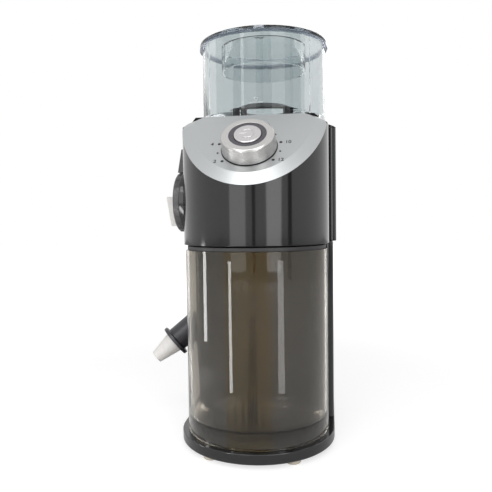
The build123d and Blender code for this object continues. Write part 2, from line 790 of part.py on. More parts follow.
with BuildPart() as dial_plate:
    plate_disc = disc(dial_plane(SHELL_R + DIAL_PLATE_T), DIAL_PLATE_R, DIAL_SHAFT_R + RUN_GAP)
    extrude(plate_disc, amount=-3 * DIAL_PLATE_T)
    with BuildSketch(dial_side):
        with BuildLine():
            Polyline(
                (SHELL_R - WALL, DIAL_R + FIT_GAP),
                (SHELL_R + INDEX_H, DIAL_R + FIT_GAP),
                (SHELL_R + INDEX_TOP_H, INDEX_REACH),
                (SHELL_R - WALL, INDEX_REACH),
                close=True,
            )
        make_face()
    extrude(amount=INDEX_W / 2, both=True)
    casing = front_round(level(shell_bottom), SHELL_R, SHELL_BACK + DIAL_R)
    extrude(casing, amount=SHELL_H, mode=Mode.SUBTRACT)
    edge_side = bar(level(shell_bottom), 4 * SHELL_R, 4 * SHELL_R, 0, SHELL_BACK + 2 * SHELL_R - REST_GAP)
    extrude(edge_side, amount=SHELL_H, mode=Mode.SUBTRACT)
finish(dial_plate, "dial_plate")

with BuildPart() as grind_dial:
    extrude(disc(dial_plane(dial_in), DIAL_R, DIAL_SHAFT_R + PRESS_GAP), amount=DIAL_T)
    chamfer(grind_dial.faces().sort_by(Axis.X)[0].outer_wire().edges(), DIAL_EDGE)
finish(grind_dial, "grind_dial")

with BuildPart() as dial_grip:
    with BuildSketch(dial_side):
        with BuildLine():
            Polyline(
                (dial_out, GRIP_UP),
                (dial_out + GRIP_H, GRIP_UP),
                (dial_out + GRIP_LOW_H, -GRIP_DOWN),
                (dial_out, -GRIP_DOWN),
                close=True,
            )
        make_face()
    extrude(amount=GRIP_W / 2, both=True)
    fillet(dial_grip.faces().sort_by(Axis.X)[0].edges(), GRIP_EDGE)
finish(dial_grip, "dial_grip")

with BuildPart() as dial_shaft:
    extrude(disc(dial_plane(dial_out), DIAL_SHAFT_R), amount=cam_out - CAM_T - SHAFT_END - dial_out)
finish(dial_shaft, "dial_shaft")

with BuildPart() as adjusting_cam:
    with BuildSketch(dial_plane(cam_out)):
        with BuildLine() as spiral:
            shares = [2 * step / CAM_POINTS - 1 for step in range(CAM_POINTS + 1)]
            turns = [math.radians(90 + CAM_SWEEP * share) for share in shares]
            rise = [CAM_R + CAM_RATE * (math.pi / 2 - turn) for turn in turns]
            points = [(r * math.cos(t), r * math.sin(t)) for r, t in zip(rise, turns)]
            Spline(*points)
            Line(points[-1], points[0])
        make_face(spiral.edges())
        Circle(DIAL_SHAFT_R + PRESS_GAP, mode=Mode.SUBTRACT)
    extrude(amount=-CAM_T)
finish(adjusting_cam, "adjusting_cam")

# Grinding chamber on legs, with a port to the chute
with BuildPart() as grinding_chamber:
    extrude(disc(burr_level(chamber_bottom), CHAMBER_R), amount=CHAMBER_H)
    pad_back = AXIS_BACK - chamber_bore_r + CHAMBER_WALL
    pad_front = CHUTE_BACK + REST_GAP / 2
    pad_y = (pad_front + pad_back) / 2
    extrude(
        bar(level(chamber_bottom), 2 * CHUTE_HALF, pad_back - pad_front, 0, pad_y),
        amount=PORT_H + 2 * CHAMBER_WALL,
    )
    extrude(disc(burr_level(chamber_floor), chamber_bore_r), amount=CHAMBER_H, mode=Mode.SUBTRACT)
    port_y = (pad_front + AXIS_BACK) / 2
    extrude(
        bar(level(chamber_floor), chute_in_x, AXIS_BACK - pad_front + WALL, 0, port_y - WALL / 2),
        amount=PORT_H,
        mode=Mode.SUBTRACT,
    )
    extrude(disc(burr_level(chamber_bottom), SHAFT_R + FIT_GAP), amount=CHAMBER_WALL, mode=Mode.SUBTRACT)
    with BuildSketch(burr_level(deck_top)):
        with PolarLocations(chamber_bore_r - LEG_R, LEG_COUNT, start_angle=45):
            Circle(LEG_R)
    extrude(amount=chamber_bottom - deck_top)
finish(grinding_chamber, "grinding_chamber")

with BuildPart() as chute:
    chute_top = chamber_floor + PORT_H + CHAMBER_WALL
    chute_out_y = CHUTE_BACK - CHUTE_FRONT
    extrude(bar(level(deck_top), 2 * CHUTE_HALF, chute_out_y, 0, chute_y), amount=chute_top - deck_top)
    extrude(
        bar(level(deck_top), chute_in_x, chute_in_y, 0, chute_y),
        amount=chute_top - deck_top - CHUTE_WALL,
        mode=Mode.SUBTRACT,
    )
    extrude(
        bar(level(chamber_floor), chute_in_x, 2 * CHUTE_WALL, 0, CHUTE_BACK),
        amount=PORT_H,
        mode=Mode.SUBTRACT,
    )
finish(chute, "chute")


def burr(bottom, tooth_face, tooth_side):
    """Ring burr with slanted radial teeth cut in one face."""
    with BuildPart() as ring:
        extrude(disc(burr_level(bottom), BURR_R, BURR_BORE_R), amount=BURR_T)
        tooth_l = BURR_R - BURR_BORE_R
        with BuildSketch(burr_level(tooth_face)):
            with PolarLocations((BURR_R + BURR_BORE_R) / 2 + TOOTH_SHIFT, TOOTH_COUNT):
                Rectangle(tooth_l, TOOTH_W, rotation=TOOTH_SLANT)
        extrude(amount=tooth_side * TOOTH_DEPTH, mode=Mode.SUBTRACT)
    return ring


lower_burr = burr(lower_burr_bottom, lower_burr_bottom + BURR_T, -1)
finish(lower_burr, "lower_burr")
upper_burr = burr(upper_burr_bottom, upper_burr_bottom, 1)
finish(upper_burr, "upper_burr")

# Upper burr carrier: ring, arm over the chamber's rim and the post that stands on the cam
with BuildPart() as burr_carrier:
    extrude(disc(burr_level(carrier_bottom), chamber_bore_r - FIT_GAP, CARRIER_BORE_R), amount=CARRIER_H)
    post_x = cam_out - CAM_T / 2
    post_back = AXIS_BACK - DIAL_BACK
    arm_l = math.hypot(post_x, post_back)
    arm_turn = math.degrees(math.atan2(-post_back, -post_x))
    arm_start = chamber_bore_r - ARM_ROOT
    arm_plane = burr_level(carrier_top - ARM_T).rotated((0, 0, arm_turn))
    arm_mid = (arm_start + arm_l + ARM_W / 2) / 2
    extrude(bar(arm_plane, arm_l + ARM_W / 2 - arm_start, ARM_W, arm_mid, 0), amount=ARM_T)
    post_bottom = dial_height + CAM_R + FIT_GAP
    extrude(bar(level(post_bottom), CAM_T, ARM_W, -post_x, DIAL_BACK), amount=carrier_top - post_bottom)
finish(burr_carrier, "burr_carrier")

with BuildPart() as burr_rotor:
    extrude(disc(burr_level(rotor_bottom), BURR_R + ROTOR_LIP), amount=ROTOR_T)
    with BuildSketch(burr_level(rotor_bottom)):
        with PolarLocations(PADDLE_R / 2, PADDLE_COUNT):
            Rectangle(PADDLE_R, PADDLE_W)
    extrude(amount=ROTOR_T)
    extrude(disc(burr_level(lower_burr_bottom), ROTOR_HUB_R), amount=BURR_T - NUT_SINK)
    extrude(
        disc(burr_level(rotor_bottom), SHAFT_R + PRESS_GAP),
        amount=ROTOR_T + BURR_T,
        mode=Mode.SUBTRACT,
    )
finish(burr_rotor, "burr_rotor")

with BuildPart() as burr_nut:
    with BuildSketch(burr_level(lower_burr_bottom + BURR_T - NUT_SINK)):
        RegularPolygon(NUT_R, 6)
        Circle(SHAFT_R + PRESS_GAP, mode=Mode.SUBTRACT)
    extrude(amount=NUT_H)
finish(burr_nut, "burr_nut")

# Motor: dampers, end brackets, bearings, core, windings and turning parts
pillar_points = [(-PILLAR_OUT, 0), (PILLAR_OUT, 0)]

with BuildPart() as motor_dampers:
    with BuildSketch(burr_level(base_top)):
        with PolarLocations(DAMPER_CIRCLE_R, 4, start_angle=45):
            Circle(DAMPER_R)
    extrude(amount=DAMPER_H)
finish(motor_dampers, "motor_dampers")

brush_mid = core_bottom - WINDING_H - COMMUTATOR_H / 2 - BRUSH_DROP
brush_bottom = brush_mid - BRUSH_W / 2
brush_x = COMMUTATOR_R + FIT_GAP + BRUSH_L / 2

with BuildPart() as lower_bracket:
    extrude(disc(burr_level(bracket_bottom), MOTOR_R), amount=BRACKET_T)
    extrude(disc(burr_level(bracket_top), BEARING_BOSS_R), amount=BEARING_T)
    extrude(disc(burr_level(bracket_top), BEARING_R + PRESS_GAP), amount=BEARING_T, mode=Mode.SUBTRACT)
    with BuildSketch(burr_level(bracket_top)):
        with Locations(*pillar_points):
            Circle(PILLAR_R)
    extrude(amount=core_bottom - bracket_top)
    with BuildSketch(burr_level(bracket_top)):
        with Locations((-brush_x - HOLDER_GAP / 2, 0), (brush_x + HOLDER_GAP / 2, 0)):
            Rectangle(BRUSH_L - HOLDER_GAP, BRUSH_W)
    extrude(amount=brush_bottom - bracket_top)
finish(lower_bracket, "lower_bracket")

with BuildPart() as upper_bracket:
    extrude(disc(burr_level(upper_bracket_bottom), MOTOR_R, BEARING_R + PRESS_GAP), amount=BRACKET_T)
    with BuildSketch(burr_level(core_top)):
        with Locations(*pillar_points):
            Circle(PILLAR_R)
    extrude(amount=BRACKET_SPAN)
finish(upper_bracket, "upper_bracket")

with BuildPart() as lower_bearing:
    extrude(disc(burr_level(bracket_top), BEARING_R, SHAFT_R + RUN_GAP), amount=BEARING_T)
finish(lower_bearing, "lower_bearing")

with BuildPart() as upper_bearing:
    extrude(disc(burr_level(upper_bracket_bottom), BEARING_R, SHAFT_R + RUN_GAP), amount=BEARING_T)
finish(upper_bearing, "upper_bearing")

with BuildPart() as motor_core:
    extrude(disc(burr_level(core_bottom), MOTOR_R, CORE_BORE_R), amount=CORE_H)
finish(motor_core, "motor_core")

with BuildPart() as field_windings:
    extrude(disc(burr_level(core_bottom), WINDING_R, CORE_BORE_R + WINDING_GAP), amount=-WINDING_H)
    extrude(disc(burr_level(core_top), WINDING_R, CORE_BORE_R + WINDING_GAP), amount=WINDING_H)
finish(field_windings, "field_windings")

with BuildPart() as motor_shaft:
    extrude(
        disc(burr_level(bracket_top + REST_GAP), SHAFT_R),
        amount=lower_burr_bottom + BURR_T + SHAFT_TOP - bracket_top - REST_GAP,
    )
finish(motor_shaft, "motor_shaft")

with BuildPart() as armature:
    extrude(disc(burr_level(core_bottom + ARMATURE_END), ARMATURE_R), amount=CORE_H - 2 * ARMATURE_END)
    with BuildSketch(burr_level(core_bottom + ARMATURE_END)):
        with PolarLocations(ARMATURE_R - SLOT_DEPTH / 2, ARMATURE_SLOTS):
            Rectangle(SLOT_DEPTH + SLOT_W / 2, SLOT_W)
    extrude(amount=CORE_H - 2 * ARMATURE_END, mode=Mode.SUBTRACT)
    extrude(
        disc(burr_level(core_bottom + ARMATURE_END), SHAFT_R + PRESS_GAP),
        amount=CORE_H - 2 * ARMATURE_END,
        mode=Mode.SUBTRACT,
    )
finish(armature, "armature")

with BuildPart() as commutator:
    extrude(
        disc(burr_level(brush_mid - COMMUTATOR_H / 2), COMMUTATOR_R, SHAFT_R + PRESS_GAP),
        amount=COMMUTATOR_H,
    )
finish(commutator, "commutator")

with BuildPart() as brushes:
    with BuildSketch(burr_level(brush_bottom)):
        with Locations((-brush_x, 0), (brush_x, 0)):
            Rectangle(BRUSH_L, BRUSH_W)
        Circle(COMMUTATOR_R + FIT_GAP, mode=Mode.SUBTRACT)
    extrude(amount=BRUSH_W)
finish(brushes, "brushes")

with BuildPart() as cooling_fan:
    fan_bottom = core_top + WINDING_H + FAN_GAP
    extrude(disc(burr_level(fan_bottom), FAN_R), amount=FAN_PLATE_T)
    extrude(disc(burr_level(fan_bottom), FAN_HUB_R), amount=FAN_H)
    with BuildSketch(burr_level(fan_bottom)):
        with PolarLocations((FAN_HUB_R - BLADE_T + FAN_R) / 2, FAN_BLADES):
            Rectangle(FAN_R - FAN_HUB_R + BLADE_T, BLADE_T)
    extrude(amount=FAN_H)
    extrude(disc(burr_level(fan_bottom), SHAFT_R + PRESS_GAP), amount=FAN_H, mode=Mode.SUBTRACT)
finish(cooling_fan, "cooling_fan")

# Switch that tells when the bin is home
with BuildPart() as bin_switch:
    switch_y = COLUMN_FRONT + WALL + SWITCH_SIDE / 2
    switch_outline = bar(
        level(bin_top - BIN_SWITCH_DROP), 2 * SWITCH_SIDE, SWITCH_SIDE, COLUMN_HALF / 2, switch_y
    )
    extrude(switch_outline, amount=SWITCH_SIDE)
finish(bin_switch, "bin_switch")

# Lead gland and its pale tapered sleeve
with BuildPart() as cord_gland:
    extrude(disc(gland_plane(-2 * GLAND_R), GLAND_R), amount=2 * GLAND_R + GLAND_REACH)
    extrude(disc(gland_plane(GLAND_REACH), FLANGE_R), amount=FLANGE_T)
    wall_face = Plane(origin=side_wall.origin, z_dir=(-1, 0, 0))
    split(bisect_by=wall_face, keep=Keep.TOP)
    extrude(disc(side_wall, GLAND_NECK_R), amount=-2 * WALL)
finish(cord_gland, "cord_gland")

with BuildPart() as strain_relief:
    sleeve_start = GLAND_REACH + FLANGE_T
    sleeve_root = disc(gland_plane(sleeve_start), SLEEVE_R)
    sleeve_tip = disc(gland_plane(sleeve_start + SLEEVE_L), SLEEVE_TIP_R)
    loft([sleeve_root.face(), sleeve_tip.face()])
    extrude(
        disc(gland_plane(sleeve_start + SLEEVE_L), LEAD_R),
        amount=-LEAD_DEPTH,
        mode=Mode.SUBTRACT,
    )
finish(strain_relief, "strain_relief")

print("origin of the front shell's axis", round(BODY_X, 3), round(BODY_Y, 3))
print("knob centre", [round(value, 3) for value in knob_plane(0).origin])
print("panel normal", [round(value, 4) for value in PANEL_NORMAL])
print("shell bottom", round(shell_bottom, 3), "cover top", round(cover_top, 3))
print("lid top", round(lid_bottom + LID_T, 3))
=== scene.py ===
# %% [markdown]
# # Burr coffee grinder: loading the frame
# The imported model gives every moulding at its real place, in metres, with the bodies that move.
# The pieces added here could be placed by typed coordinates. They are placed from the frame's own
# boxes and joint axes instead, so that they sit on the mouldings, and each rides on a body.

# %% Load the frame
import json
import math

import bmesh
import bpy
from mathutils import Matrix, Vector


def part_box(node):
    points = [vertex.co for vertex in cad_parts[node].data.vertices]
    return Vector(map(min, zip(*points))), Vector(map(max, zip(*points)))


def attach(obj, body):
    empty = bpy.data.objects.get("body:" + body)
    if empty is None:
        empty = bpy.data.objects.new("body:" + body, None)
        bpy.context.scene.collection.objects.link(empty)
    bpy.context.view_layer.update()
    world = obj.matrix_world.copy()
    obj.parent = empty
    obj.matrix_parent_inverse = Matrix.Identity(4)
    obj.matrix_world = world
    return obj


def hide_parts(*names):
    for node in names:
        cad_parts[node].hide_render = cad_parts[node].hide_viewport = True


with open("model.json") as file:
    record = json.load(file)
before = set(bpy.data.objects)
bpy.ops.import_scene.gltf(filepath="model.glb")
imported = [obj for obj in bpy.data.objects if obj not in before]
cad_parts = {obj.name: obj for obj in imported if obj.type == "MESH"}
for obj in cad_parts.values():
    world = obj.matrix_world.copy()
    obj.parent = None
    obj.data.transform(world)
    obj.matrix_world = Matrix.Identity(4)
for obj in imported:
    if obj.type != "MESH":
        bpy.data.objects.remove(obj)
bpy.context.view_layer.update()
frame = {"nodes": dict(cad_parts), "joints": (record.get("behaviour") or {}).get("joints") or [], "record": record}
nodes = frame["nodes"]
record = frame["record"]
joints = {joint["name"]: joint for joint in frame["joints"]}
body_of = {name: body for body, names in record["behaviour"]["bodies"].items() for name in names}
slot_of = {part["node"]: part["material_slot"] for part in record["subparts"]}

# %% Measure the grinder
MM = 0.001
shell_low, shell_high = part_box("front_shell")
shell_r = (shell_high.x - shell_low.x) / 2
shell_axis = Vector(((shell_low.x + shell_high.x) / 2, shell_low.y + shell_r, 0))
knob_centre = Vector(joints["knob_turn"]["pos_m"])
knob_axis = Vector(joints["knob_turn"]["axis"]).normalized()
slope_up = knob_axis.cross(Vector((1, 0, 0))).normalized()
dial_centre = Vector(joints["dial_turn"]["pos_m"])
burr_axis = Vector(joints["rotor_spin"]["pos_m"])
print("shell radius", round(shell_r, 4))

# %% [markdown]
# ## Shader maths as plain expressions
# A finish is a small sum of patterns. It could be wired node by node, which is long to read.
# Wrapping a socket in a class lets the sum be written as an expression, and one method makes any
# other node, so a material reads from top to bottom.


# %% A socket that can be added and multiplied
class Value:
    """A shader socket used in expressions; each operator adds one Math node."""

    def __init__(self, paint, socket):
        self.paint = paint
        self.socket = socket

    def maths(self, operation, first, second):
        return self.paint.node("ShaderNodeMath", {"operation": operation}, {0: first, 1: second})

    def __add__(self, other):
        return self.maths("ADD", self, other)

    def __sub__(self, other):
        return self.maths("SUBTRACT", self, other)

    def __rsub__(self, other):
        return self.maths("SUBTRACT", other, self)

    def __mul__(self, other):
        return self.maths("MULTIPLY", self, other)

    def __pow__(self, other):
        return self.maths("POWER", self, other)

    def __gt__(self, other):
        return self.maths("GREATER_THAN", self, other)

    __radd__ = __add__
    __rmul__ = __mul__


print("operators ready")


# %% The paint that a socket belongs to
class Paint:
    """A material with its nodes; node() makes any node from its type, settings and sockets."""

    def __init__(self, name):
        self.material = bpy.data.materials.new(name)
        self.material.use_nodes = True
        self.tree = self.material.node_tree
        self.shader = self.tree.nodes["Principled BSDF"]

    def node(self, kind, settings=None, sockets=None, output=0):
        made = self.tree.nodes.new(kind)
        for key, value in (settings or {}).items():
            setattr(made, key, value)
        for key, value in (sockets or {}).items():
            self.plug(made.inputs[key], value)
        return Value(self, made.outputs[output])

    def plug(self, socket, value):
        if isinstance(value, Value):
            self.tree.links.new(value.socket, socket)
        else:
            socket.default_value = value

    def place(self):
        """Object coordinates, which stay fixed to the piece."""
        return self.node("ShaderNodeTexCoord", output=3)

    def grain(self, scale, detail, vector=None):
        where = vector or self.place()
        return self.node("ShaderNodeTexNoise", {}, {"Vector": where, "Scale": scale, "Detail": detail})

    def ease(self, value, limits):
        """A soft step between two limits, from 0 to 1 unless the limits say otherwise."""
        return self.node(
            "ShaderNodeMapRange", {"interpolation_type": "SMOOTHSTEP"}, {"Value": value, **limits}
        )

    def beyond(self, direction, middle, near, far):
        """0 within near of a middle plane across X, Y or Z (0, 1 or 2), rising to 1 at far."""
        offset = self.node("ShaderNodeSeparateXYZ", {}, {0: self.place()}, output=direction) - middle
        return self.ease(offset * offset, {"From Min": near**2, "From Max": far**2})

    def blend(self, factor, first, second):
        return self.node("ShaderNodeMix", {"data_type": "RGBA"}, {0: factor, 6: first, 7: second}, output=2)

    def bump(self, height, strength, distance):
        sockets = {"Height": height, "Strength": strength, "Distance": distance}
        self.plug(self.shader.inputs["Normal"], self.node("ShaderNodeBump", {}, sockets))

    def set(self, values):
        for key, value in values.items():
            self.plug(self.shader.inputs[key], value)
        return self


def tone(red, green, blue):
    return (red, green, blue, 1.0)


print("paint ready")

# %% [markdown]
# ## Opaque finishes
# The casing is glossy black plastic, which shows mostly reflections. A plain glossy shader would look
# like glass, so a faint ripple from the mould, a little uneven gloss and a few specks are added. The
# panel is silver paint with fine flakes. The knob is turned metal: rings about its axis come from
# noise that is read along the radius, which needs no picture.


# %% Casing and panel
def black_gloss():
    paint = Paint("casing_black")
    handling = paint.grain(45.0, detail=4.0)
    dust = paint.grain(1400.0, detail=2.0) > 0.69
    paint.bump(paint.grain(420.0, detail=1.0), strength=0.004, distance=0.08 * MM)
    return paint.set(
        {
            "Base Color": paint.blend(dust * 0.12, tone(0.011, 0.011, 0.012), tone(0.05, 0.05, 0.052)),
            "Roughness": 0.07 + handling * 0.07,
            "Coat Weight": 0.1,
        }
    ).material


def silver_paint():
    paint = Paint("panel_silver")
    flakes = paint.grain(5200.0, detail=1.0)
    cloud = paint.grain(30.0, detail=2.0)
    paint.bump(flakes, strength=0.04, distance=0.05 * MM)
    return paint.set(
        {
            "Base Color": paint.blend(flakes, tone(0.36, 0.375, 0.38), tone(0.54, 0.555, 0.56)),
            "Metallic": 0.72,
            "Roughness": 0.33 + cloud * 0.08,
            "Coat Weight": 0.15,
        }
    ).material


casing_black = black_gloss()
panel_silver = silver_paint()
print("finishes", casing_black.name, panel_silver.name)

# %% Turned metals
# Height counts less than the radius, so the bands on the side are wider than the rings on top
SIDE_BAND = 0.6


def turned_metal(name, centre, axis, dark, light, ring_scale):
    """Metal with fine rings about an axis, found by measuring along two directions across it."""
    paint = Paint(name)
    across = axis.orthogonal().normalized()
    over = axis.cross(across)
    offset = paint.node("ShaderNodeVectorMath", {"operation": "SUBTRACT"}, {0: paint.place(), 1: centre})

    def measure(direction):
        pair = {0: offset, 1: direction}
        return paint.node("ShaderNodeVectorMath", {"operation": "DOT_PRODUCT"}, pair, output=1)

    one = measure(across)
    two = measure(over)
    radius = (one * one + two * two) ** 0.5
    height = measure(axis)
    line = paint.node("ShaderNodeCombineXYZ", {}, {0: radius, 1: height * SIDE_BAND})
    rings = paint.grain(ring_scale, detail=2.0, vector=line)
    paint.bump(rings, strength=0.08, distance=0.08 * MM)
    return paint.set(
        {
            "Base Color": paint.blend(rings, dark, light),
            "Metallic": 0.95,
            "Roughness": 0.22 + rings * 0.16,
        }
    ).material


knob_metal = turned_metal(
    "knob_metal", knob_centre, knob_axis, tone(0.42, 0.415, 0.405), tone(0.66, 0.65, 0.64), ring_scale=6500.0
)
button_metal = turned_metal(
    "button_metal", knob_centre, knob_axis, tone(0.46, 0.445, 0.45), tone(0.7, 0.68, 0.69), ring_scale=4200.0
)
steel = turned_metal(
    "ground_steel",
    burr_axis,
    Vector((0, 0, 1)),
    tone(0.4, 0.4, 0.41),
    tone(0.62, 0.62, 0.63),
    ring_scale=3000.0,
)
print("finishes", knob_metal.name, button_metal.name, steel.name)

# %% [markdown]
# ## See-through finishes
# The hopper and its lid are nearly clear plastic and the bin is smoky. A true index is about 1.5,
# but the frame's round walls are made of flat facets, which then show as streaks. A low index keeps
# the view through the walls calm, and a coat brings the surface reflections back. Colours that follow
# the place on the piece add the rest: the hopper's darker middle strip and the lid's darker rim are
# painted shade, the bin's browner middle strip is a painted reflection, and a dark line runs round
# the bin's floor.

# %% Clear hopper and lid
CLEAR_INDEX = 1.1
CLEAR_COAT = 0.6
HOPPER_PAINTED_SHADE_STRIP = 30.0 * MM
LID_RIM = 45.5 * MM


def clear_hopper(half_width):
    """Clear plastic with painted shade: its upright middle strip is darker, as if seen through one more wall."""
    paint = Paint("hopper_clear")
    outside_painted_strip = paint.beyond(0, burr_axis.x, 0.98 * half_width, 1.02 * half_width)
    return paint.set(
        {
            # Painted shade: the middle strip gets the darker tone and the sides the paler one
            "Base Color": paint.blend(outside_painted_strip, tone(0.6, 0.645, 0.655), tone(0.76, 0.79, 0.795)),
            "Transmission Weight": 1.0,
            "IOR": CLEAR_INDEX,
            "Coat Weight": CLEAR_COAT,
            "Roughness": paint.grain(60.0, detail=4.0) * 0.03,
        }
    ).material


def rimmed_lid(rim_radius):
    """Clear plastic with painted shade at its rim, where one looks along the sheet."""
    paint = Paint("lid_clear")
    apart = paint.node("ShaderNodeVectorMath", {"operation": "SUBTRACT"}, {0: paint.place(), 1: burr_axis})
    across = paint.node("ShaderNodeSeparateXYZ", {}, {0: apart})
    along = paint.node("ShaderNodeSeparateXYZ", {}, {0: apart}, output=1)
    rim = across * across + along * along > rim_radius * rim_radius
    return paint.set(
        {
            # Painted shade: the rim gets the darker tone
            "Base Color": paint.blend(rim, tone(0.76, 0.8, 0.805), tone(0.3, 0.33, 0.39)),
            "Transmission Weight": 1.0,
            "IOR": CLEAR_INDEX,
            "Coat Weight": CLEAR_COAT,
            "Roughness": 0.02,
        }
    ).material


hopper_clear = clear_hopper(HOPPER_PAINTED_SHADE_STRIP)
lid_clear = rimmed_lid(LID_RIM)
print("finishes", hopper_clear.name, lid_clear.name)

# %% Smoky bin
SMOKY_INDEX = 1.15
BIN_PAINTED_REFLECTION_STRIP = 14.0 * MM
FLOOR_RISE = 11.2 * MM
FLOOR_LINE = 0.7 * MM
bin_floor_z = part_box("grounds_bin")[0].z + FLOOR_RISE


def smoky_bin(half_width, floor_z, floor_line):
    """Smoky plastic with a painted reflection that makes its upright middle strip browner, and a dark line round
    the raised floor.
    """
    paint = Paint("bin_smoke")
    outside_painted_strip = paint.beyond(0, shell_axis.x, 0.8 * half_width, 1.2 * half_width)
    off_floor = paint.beyond(2, floor_z, 0.4 * floor_line, floor_line)
    cloud = paint.grain(55.0, detail=3.0)
    # Painted reflection: the browner tones of the middle strip
    middle = paint.blend(cloud, tone(0.54, 0.43, 0.24), tone(0.66, 0.54, 0.32))
    outer = paint.blend(cloud, tone(0.52, 0.49, 0.44), tone(0.62, 0.59, 0.54))
    return paint.set(
        {
            "Base Color": paint.blend(off_floor, tone(0.06, 0.055, 0.05), paint.blend(outside_painted_strip, middle, outer)),
            "Transmission Weight": 0.98,
            "IOR": SMOKY_INDEX,
            "Coat Weight": 0.7,
            "Roughness": cloud * 0.01,
        }
    ).material


bin_smoke = smoky_bin(BIN_PAINTED_REFLECTION_STRIP, bin_floor_z, FLOOR_LINE)
print("finish", bin_smoke.name, "floor at", round(bin_floor_z, 4))

# %% [markdown]
# ## Moulded, rubber, printed and inner finishes
# The smaller pieces are satin plastics, rubber, ink, copper and cast metal. Each could have a shader of
# its own, but they differ only in two colours, their gloss and the size of their grain, so one recipe
# makes them all. The last table gives every material slot of the frame its finish.

# %% One recipe for the small pieces
MOULD_GRAIN = 350.0
MOULD_DEPTH = 0.06 * MM


def moulded(name, dark, light, rough, scale=MOULD_GRAIN, metallic=0.0):
    paint = Paint(name)
    texture = paint.grain(scale, detail=3.0)
    paint.bump(texture, strength=0.12, distance=MOULD_DEPTH)
    return paint.set(
        {
            "Base Color": paint.blend(texture, dark, light),
            "Roughness": rough + texture * 0.1,
            "Metallic": metallic,
        }
    ).material


ring_dark = moulded("ring_dark", tone(0.05, 0.045, 0.055), tone(0.09, 0.085, 0.1), 0.18, 900.0)
inner_black = moulded("inner_black", tone(0.018, 0.018, 0.02), tone(0.04, 0.04, 0.043), 0.42)
gland_charcoal = moulded("gland_charcoal", tone(0.022, 0.022, 0.026), tone(0.05, 0.05, 0.058), 0.3)
dial_grey = moulded("dial_grey", tone(0.05, 0.05, 0.053), tone(0.09, 0.09, 0.095), 0.25)
sleeve_pale = moulded("sleeve_pale", tone(0.62, 0.6, 0.575), tone(0.76, 0.745, 0.72), 0.4, 500.0)
foot_rubber = moulded("foot_rubber", tone(0.5, 0.44, 0.36), tone(0.62, 0.56, 0.47), 0.6, 900.0)
# The same ink also paints the shadow ring under the knob
ink_and_painted_shadow = moulded("ink_and_painted_shadow", tone(0.006, 0.006, 0.008), tone(0.016, 0.016, 0.02), 0.5, 2000.0)
mark_white = moulded("mark_white", tone(0.8, 0.81, 0.81), tone(0.9, 0.91, 0.91), 0.4, 2000.0)
nylon = moulded("nylon", tone(0.72, 0.7, 0.65), tone(0.84, 0.82, 0.77), 0.45)
core_steel = moulded("core_steel", tone(0.2, 0.2, 0.21), tone(0.32, 0.32, 0.33), 0.4, 800.0, 0.8)
cast_alloy = moulded("cast_alloy", tone(0.45, 0.45, 0.46), tone(0.62, 0.62, 0.63), 0.42, 700.0, 0.9)
copper = moulded("copper", tone(0.5, 0.2, 0.09), tone(0.72, 0.36, 0.18), 0.3, 1500.0, 0.85)
carbon = moulded("carbon", tone(0.02, 0.02, 0.02), tone(0.05, 0.05, 0.05), 0.55)
board_green = moulded("board_green", tone(0.02, 0.1, 0.04), tone(0.04, 0.2, 0.08), 0.35, 400.0)
print("materials so far", len(bpy.data.materials))

# %% A finish for every slot
finish_of_slot = {
    "black_gloss": casing_black,
    "silver_paint": panel_silver,
    "satin_metal": knob_metal,
    "dark_ring": ring_dark,
    "clear_plastic": hopper_clear,
    "smoky_plastic": bin_smoke,
    "inner_plastic": inner_black,
    "charcoal": gland_charcoal,
    "pale_grey": sleeve_pale,
    "foot_rubber": foot_rubber,
    "nylon": nylon,
    "steel": steel,
    "bracket_metal": cast_alloy,
    "core_steel": core_steel,
    "copper": copper,
    "carbon": carbon,
    "board": board_green,
}
print("slots with a finish", len(finish_of_slot))

# %% [markdown]
# ## Dressing the mouldings
# The frame's meshes are bare triangles with knife edges. A real moulding has small rounded edges that
# catch the light, and its curves shade smoothly. The edges could be rounded in the solids, but a bevel
# on a merged copy is lighter and keeps the frame as it is. Clear walls and thin pieces get no bevel.
# The panel and the lid keep their own triangles and a low sharp angle, because merged faces gave them
# spikes of shade. Inner pieces only get their finish.

# %% Bevel and smooth shading
SAME_POINT = 0.002 * MM
FLAT_ANGLE = math.radians(0.4)
BEVEL_STEPS = 3
SHARP_ANGLE = 32.0


def plain_mesh(piece):
    """The evaluated shape of an object as a mesh of its own."""
    graph = bpy.context.evaluated_depsgraph_get()
    return bpy.data.meshes.new_from_object(piece.evaluated_get(graph), depsgraph=graph)


def round_edges(piece, edge, sharp):
    """Narrow bevel on the sharp edges, with normals that keep the large faces flat."""
    if edge > 0:
        rounding = piece.modifiers.new("edge", "BEVEL")
        rounding.width = edge
        rounding.segments = BEVEL_STEPS
        rounding.limit_method = "ANGLE"
        rounding.angle_limit = math.radians(sharp)
        rounding.use_clamp_overlap = False
    even = piece.modifiers.new("even", "WEIGHTED_NORMAL")
    even.keep_sharp = True
    piece.data = plain_mesh(piece)
    piece.modifiers.clear()


def merged_copy(node, edge, merge):
    """The node's mesh with its points joined, and its flat triangles too where that is wanted."""
    mesh = nodes[node].data.copy()
    shape = bmesh.new()
    shape.from_mesh(mesh)
    bmesh.ops.remove_doubles(shape, verts=shape.verts, dist=SAME_POINT)
    if edge > 0:
        bmesh.ops.dissolve_limit(shape, angle_limit=FLAT_ANGLE, verts=shape.verts, edges=shape.edges)
    elif merge:
        bmesh.ops.join_triangles(
            shape,
            faces=shape.faces,
            angle_face_threshold=FLAT_ANGLE,
            angle_shape_threshold=math.pi,
        )
    shape.to_mesh(mesh)
    shape.free()
    return mesh


